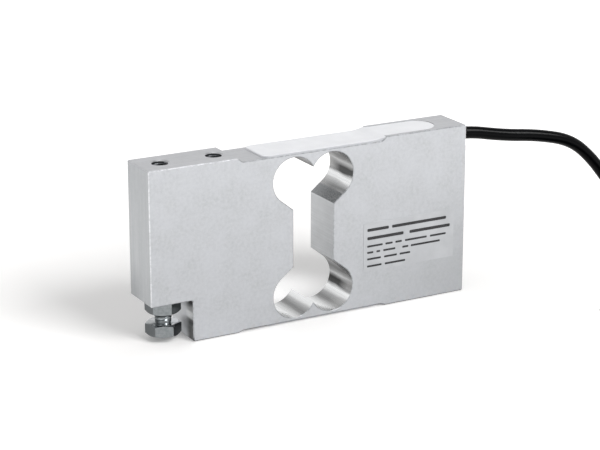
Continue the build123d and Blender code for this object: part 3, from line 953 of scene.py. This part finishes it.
def seal_stations():
    """Places along the seal, closer together where its outline or its height turns."""
    stride, pad_until, pocket_until = 0.0022, 0.0300, 0.0530
    ramp_start, ramp_stride, ramp_steps = 0.0310, 0.0003, 19
    stations = [
        SEAL_START + PAD_CORNER * (1 - math.cos(math.radians(t))) for t in range(0, 91, 9)
    ]
    while stations[-1] < pad_until:
        stations.append(stations[-1] + stride)
    stations += [ramp_start + ramp_stride * step for step in range(ramp_steps)]
    while stations[-1] < pocket_until:
        stations.append(stations[-1] + stride)
    round_end = (*range(0, 88, 6), 87, 89, 90)
    return stations + [ROUND_START + POCKET_HALF * math.sin(math.radians(t)) for t in round_end]


def build_upper_seal():
    """A skin with a round, slightly rippled edge, and the plug that fills the pocket."""
    edge_width, edge_height, ripple_height = 0.0006, 0.12, 0.00003
    shares = [-1.0, -0.995, -0.985, -0.965, -0.93, -0.88, -0.8, -0.6, -0.3, 0.0]
    shares += [-share for share in shares[-2::-1]]
    top, bottom = [], []
    for x in seal_stations():
        half = seal_half_width(x)
        ground, crown = seal_heights(x)
        from_end = min(x - SEAL_START, POCKET_APEX - x)
        for share in shares:
            inset = min((1 - abs(share)) * half, from_end)
            swell = min(max(inset / edge_width, 0.0), 1.0)
            round_edge = math.sqrt(1 - (1 - swell) ** 2)
            ripple = math.sin(x * 410 + 2.1 * share) * math.sin(share * 5 + x * 170)
            full = crown - ground + ripple_height * ripple
            height = ground + full * (edge_height + (1 - edge_height) * round_edge)
            top.append((x, share * half, height))
            bottom.append((x, share * half, ground - 0.00002))
    shape = bmesh.new()
    sheet_piece(shape, top, bottom, len(shares))

    reach, plug_heights = POCKET_HALF - 0.00002, (0.06502, 0.0731)
    arcs = [(POCKET_END - POCKET_HALF, math.radians(t)) for t in range(-90, 91, 10)]
    arcs += [(POCKET_START + POCKET_HALF, math.radians(t)) for t in range(90, 271, 10)]
    outline = [(centre + reach * math.cos(t), reach * math.sin(t)) for centre, t in arcs]
    ring_piece(shape, [[(x, y, z) for x, y in outline] for z in plug_heights])
    weld(shape)
    item = finish_mesh("upper_silicone", shape, sealant, 60)
    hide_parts("upper_sealant")


def build_lower_seal():
    """A pad with round corners, its lower edge rounded by rings that draw in as they drop."""
    length = 0.0558
    insets_and_drops = (
        (0.0, -0.00002), (0.0, 0.0001), (0.0001, 0.0003), (0.0003, 0.00045), (0.0006, 0.00055),
        (0.0010, 0.0006),
    )
    rings = []
    for inset, drop in insets_and_drops:
        outline = round_rectangle(
            SEAL_START + PAD_CORNER, SEAL_START + length - PAD_CORNER,
            PAD_CORNER - PAD_HALF, PAD_HALF - PAD_CORNER, PAD_CORNER - inset, 8,
        )
        rings.append([(x, y, LOWER_FLOOR - drop) for x, y in outline])
    shape = bmesh.new()
    ring_piece(shape, rings)
    item = finish_mesh("lower_silicone", shape, sealant, 60)
    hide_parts("lower_sealant")


build_upper_seal()
build_lower_seal()


# ---------------------------------------- label print

LABEL_FACE = -HALF_WIDTH - 0.0001

# Each line's height and thickness in metres, then its bars' ends in millimetres
LABEL_LINES = (
    (0.0350, 0.00130, ((26.0, 36.6), (38.2, 65.5))),
    (0.0313, 0.00135, ((26.0, 44.0), (47.0, 67.5))),
    (0.0278, 0.00088, ((26.0, 33.6), (35.0, 38.6), (40.0, 43.2), (44.8, 55.8), (57.4, 65.5))),
    (0.0250, 0.00088, ((26.0, 29.0), (30.6, 32.4), (34.0, 40.0), (43.5, 46.5), (47.8, 62.5))),
    (0.0221, 0.00088, ((26.0, 32.8), (34.4, 40.8), (42.2, 47.5))),
    (0.0189, 0.00088, ((26.0, 33.2), (34.8, 45.0))),
)


def build_label_print():
    """Plain bars where a rating label has its lines of print."""
    half_thick = 0.00002
    shape = bmesh.new()
    for height, thick, bars in LABEL_LINES:
        corner = thick * 0.3
        for left, right in bars:
            outline = round_rectangle(
                left * MM + corner, right * MM - corner,
                height - thick / 2 + corner, height + thick / 2 - corner, corner, 3,
            )
            faces = (LABEL_FACE + half_thick, LABEL_FACE - half_thick)
            ring_piece(shape, [[(x, y, z) for x, z in outline] for y in faces])
    finish_mesh("label_print", shape, print_ink, 30)


build_label_print()


# ---------------------------------------- coil ties and free cores

TIE_ANGLES, TIE_THICKNESS, TIE_WIDTH = (33.2, 218.2), 0.00058, 0.0036
CORE_RADIUS, DRAIN_RADIUS, STRAND_RADIUS = 0.00065, 0.0005, 0.000125
UP = Vector((0, 0, 1))


def tie_outline(reach):
    """A band round the coil's section: straight sides, and arcs round its corner turns."""
    middle = OUTER_TRACK - CABLE_DIAMETER
    return round_rectangle(
        middle - CABLE_DIAMETER, middle + CABLE_DIAMETER,
        TOP_LAYER - 3 * CABLE_DIAMETER, TOP_LAYER, CABLE_DIAMETER / 2 + reach, 8,
    )


def on_coil(turn, radius, across, height):
    """A point so far out from the coil's centre, and so far across and up."""
    out = Vector((math.cos(turn), math.sin(turn), 0))
    side = Vector((-math.sin(turn), math.cos(turn), 0))
    return Vector((*COIL_CENTRE, height)) + out * radius + side * across


def build_ties():
    """Two bands round the coil, each with its lock and the tongue that stands out of it."""
    half = TIE_WIDTH / 2
    face = OUTER_TRACK + CABLE_DIAMETER / 2 + 0.0003
    lock = (face, face + 0.0030, 0.0026, 0.0092, 0.0142)
    tongue = (face + 0.0002, face + 0.0010, 0.0017, 0.0140, 0.0168)
    inner, outer = tie_outline(0.00002), tie_outline(TIE_THICKNESS)
    shape = bmesh.new()
    for angle in TIE_ANGLES:
        turn = math.radians(angle)
        rings = [
            [on_coil(turn, radius, across, height) for radius, height in outline]
            for outline, across in ((inner, -half), (outer, -half), (outer, half), (inner, half))
        ]
        ring_piece(shape, rings, loop=True)
        for near, far, beside, low, high in (lock, tongue):
            corners = [
                on_coil(turn, radius, across, height)
                for radius in (near, far)
                for across in (-beside, beside)
                for height in (low, high)
            ]
            box_piece(shape, corners)
    item = finish_mesh("coil_cable_ties", shape, tie_nylon, 30)
    soften(item, 0.0002, 3, 40)
    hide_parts("coil_ties")
    return item


def bare_strands(shape, end, before):
    """Seven twisted strands that stand out of a core's end."""
    lay, bared, sunk, twist = 0.00021, 0.007, 0.0003, 1.6
    start = Vector(end)
    way = (start - Vector(before)).normalized()
    beside = way.cross(UP).normalized()
    above = beside.cross(way)
    sixths = [math.radians(60 * k) for k in range(6)]
    strands = [(0.0, 0.0)] + [(lay * math.cos(t), lay * math.sin(t)) for t in sixths]
    eighths = [math.radians(45 * k) for k in range(8)]
    for across, up in strands:
        rings = []
        for share in (0.0, 0.25, 0.5, 0.75, 1.0):
            cosine, sine = math.cos(twist * share), math.sin(twist * share)
            centre = start + way * (bared * share - sunk)
            centre += beside * (across * cosine - up * sine) + above * (across * sine + up * cosine)
            rings.append(
                [
                    centre
                    + beside * (STRAND_RADIUS * math.cos(t))
                    + above * (STRAND_RADIUS * math.sin(t))
                    for t in eighths
                ]
            )
        ring_piece(shape, rings)


def build_free_cores():
    """The cores fan out from the cut jacket, each insulated one with its bared tip."""
    reach, spacing, sunk = 0.036, 0.005, 0.001
    cut_end = Vector(TAIL_ROUTE[-1])
    forward = (cut_end - Vector(TAIL_ROUTE[-2])).normalized()
    sideways = forward.cross(UP).normalized()
    offset = 0.00125 * math.sin(math.radians(45))
    cores = (
        ("red", CORE_RADIUS, -offset, -offset, -2.0),
        ("green", CORE_RADIUS, -offset, offset, -1.0),
        ("drain", DRAIN_RADIUS, 0.0, 0.0, 0.2),
        ("black", CORE_RADIUS, offset, offset, 1.0),
        ("white", CORE_RADIUS, offset, -offset, 2.0),
    )
    # How far along a core, how far fanned out, and how much of its height in the cable it keeps
    route = ((0, 0, 1), (0.12, 0, 1), (0.4, 0.45, 0), (0.7, 0.8, 0), (1, 1, 0))
    made = []
    tips = bmesh.new()
    for name, radius, across, above, place in cores:
        points = []
        for along, spread, lifted in route:
            point = cut_end + forward * (along * reach)
            point += sideways * (across + spread * place * spacing)
            point.z = lifted * (cut_end.z + above) + (1 - lifted) * radius
            points.append(tuple(point))
        points[0] = tuple(Vector(points[0]) - forward * sunk)
        data = nurbs_curve(f"{name}_core_end", points, radius * 2, bevel_resolution=4)
        if name == "drain":
            piece = new_object(f"{name}_core_end", data, tinned)
            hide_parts("drain_wire")
        else:
            piece = new_object(f"{name}_core_end", data, insulation[name])
            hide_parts(f"{name}_lead")
            bare_strands(tips, points[-1], points[-2])
        made.append(piece)
    bared = finish_mesh("bared_core_tips", tips, tinned, 40)
    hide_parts("core_tips")
    return made + [bared]


cord_pieces = [build_ties()] + build_free_cores()


# ---------------------------------------- floor and light


def stage_floor():
    """A white floor that glows softly to the eye, so it stays white without more lamps, with a
    painted pool of light behind the window.
    """
    mesh = bpy.data.meshes.new("floor")
    shape = bmesh.new()
    bmesh.ops.create_grid(shape, x_segments=1, y_segments=1, size=4.0)
    shape.to_mesh(mesh)
    shape.free()
    floor = linked("floor", mesh)
    floor.location = (0, 0, -0.0002)

    nodes = Nodes(bpy.data.materials.new("floor"))
    nodes.set(colour=rgb(244, 243, 242), roughness=0.95, specular=0.0)
    # The glow is weaker near the object, where its shade lies
    near, far, weakest, strongest = 0.09, 0.40, 0.15, 0.62
    even = nodes.ranged(nodes.away_from((0, 0, 0)), near, far, weakest, strongest)
    # A painted pool of light on the floor behind the window, where light through it falls
    patch, core, rim, brightest = (0.007, 0.032, 0.0), 0.002, 0.030, 0.36
    painted_window_light = nodes.ranged(nodes.away_from(patch), core, rim, brightest, 0, "SMOOTHSTEP")
    _, seen = nodes.looked_at()
    strength = nodes.product(seen, nodes.total(even, painted_window_light))
    glow = nodes.new("Emission", {"Color": (1, 1, 1, 1), "Strength": strength}).outputs[0]
    matt = nodes.tree.nodes["Principled BSDF"].outputs[0]
    both = nodes.new("AddShader", {0: matt, 1: glow}).outputs[0]
    nodes.feed(both, nodes.tree.nodes["Material Output"].inputs["Surface"])
    mesh.materials.append(nodes.owner)


def stage_world():
    """A white sweep up to the horizon and above it, under a dimmer ceiling."""
    low, high, dimmest, lit = 0.32, 0.72, 0.30, 0.4
    world = bpy.data.worlds.new("studio")
    nodes = Nodes(world)
    straight, seen = nodes.looked_at()
    height = nodes.parts(nodes.coordinates["Generated"])[2]
    ceiling = nodes.ranged(height, low, high, 1.0, dimmest, "SMOOTHSTEP")
    shown = nodes.math("MAXIMUM", ceiling, straight)
    background = nodes.tree.nodes["Background"]
    nodes.feed((1, 1, 1, 1), background.inputs["Color"])
    nodes.feed(nodes.mix_numbers(seen, lit, shown), background.inputs["Strength"])
    bpy.context.scene.world = world


def area_light(name, place, aim, size, power):
    data = bpy.data.lights.new(name, "AREA")
    data.energy = power
    data.size = size
    light = linked(name, data)
    light.location = place
    light.rotation_euler = (Vector(aim) - Vector(place)).to_track_quat("-Z", "Y").to_euler()
    return light


BODY_AIM, CABLE_AIM = (0, 0, 0.03), (0.10, 0, 0.07)

stage_floor()
stage_world()
key = area_light("key", (0.72, -1.98, 1.80), BODY_AIM, 1.3, 56.0)
area_light("fill", (-1.8, -1.2, 1.0), BODY_AIM, 1.4, 5.0)
area_light("top", (0.0, 0.3, 2.2), BODY_AIM, 1.2, 6.0)

# The cable throws no hard shadow into the view from beside it
unshaded = bpy.data.collections.new("key_passes")
for item in [cable] + cord_pieces:
    unshaded.objects.link(item)
for entry in unshaded.collection_objects:
    entry.light_linking.link_state = "EXCLUDE"
key.light_linking.blocker_collection = unshaded

# A lamp for the cable alone, which draws the gloss line along it
glint = area_light("glint", (1.54, -1.20, 1.72), CABLE_AIM, 1.1, 50.0)
glossy = bpy.data.collections.new("glint_lights")
glossy.objects.link(cable)
glint.light_linking.receiver_collection = glossy

bpy.context.scene.view_settings.view_transform = "Standard"
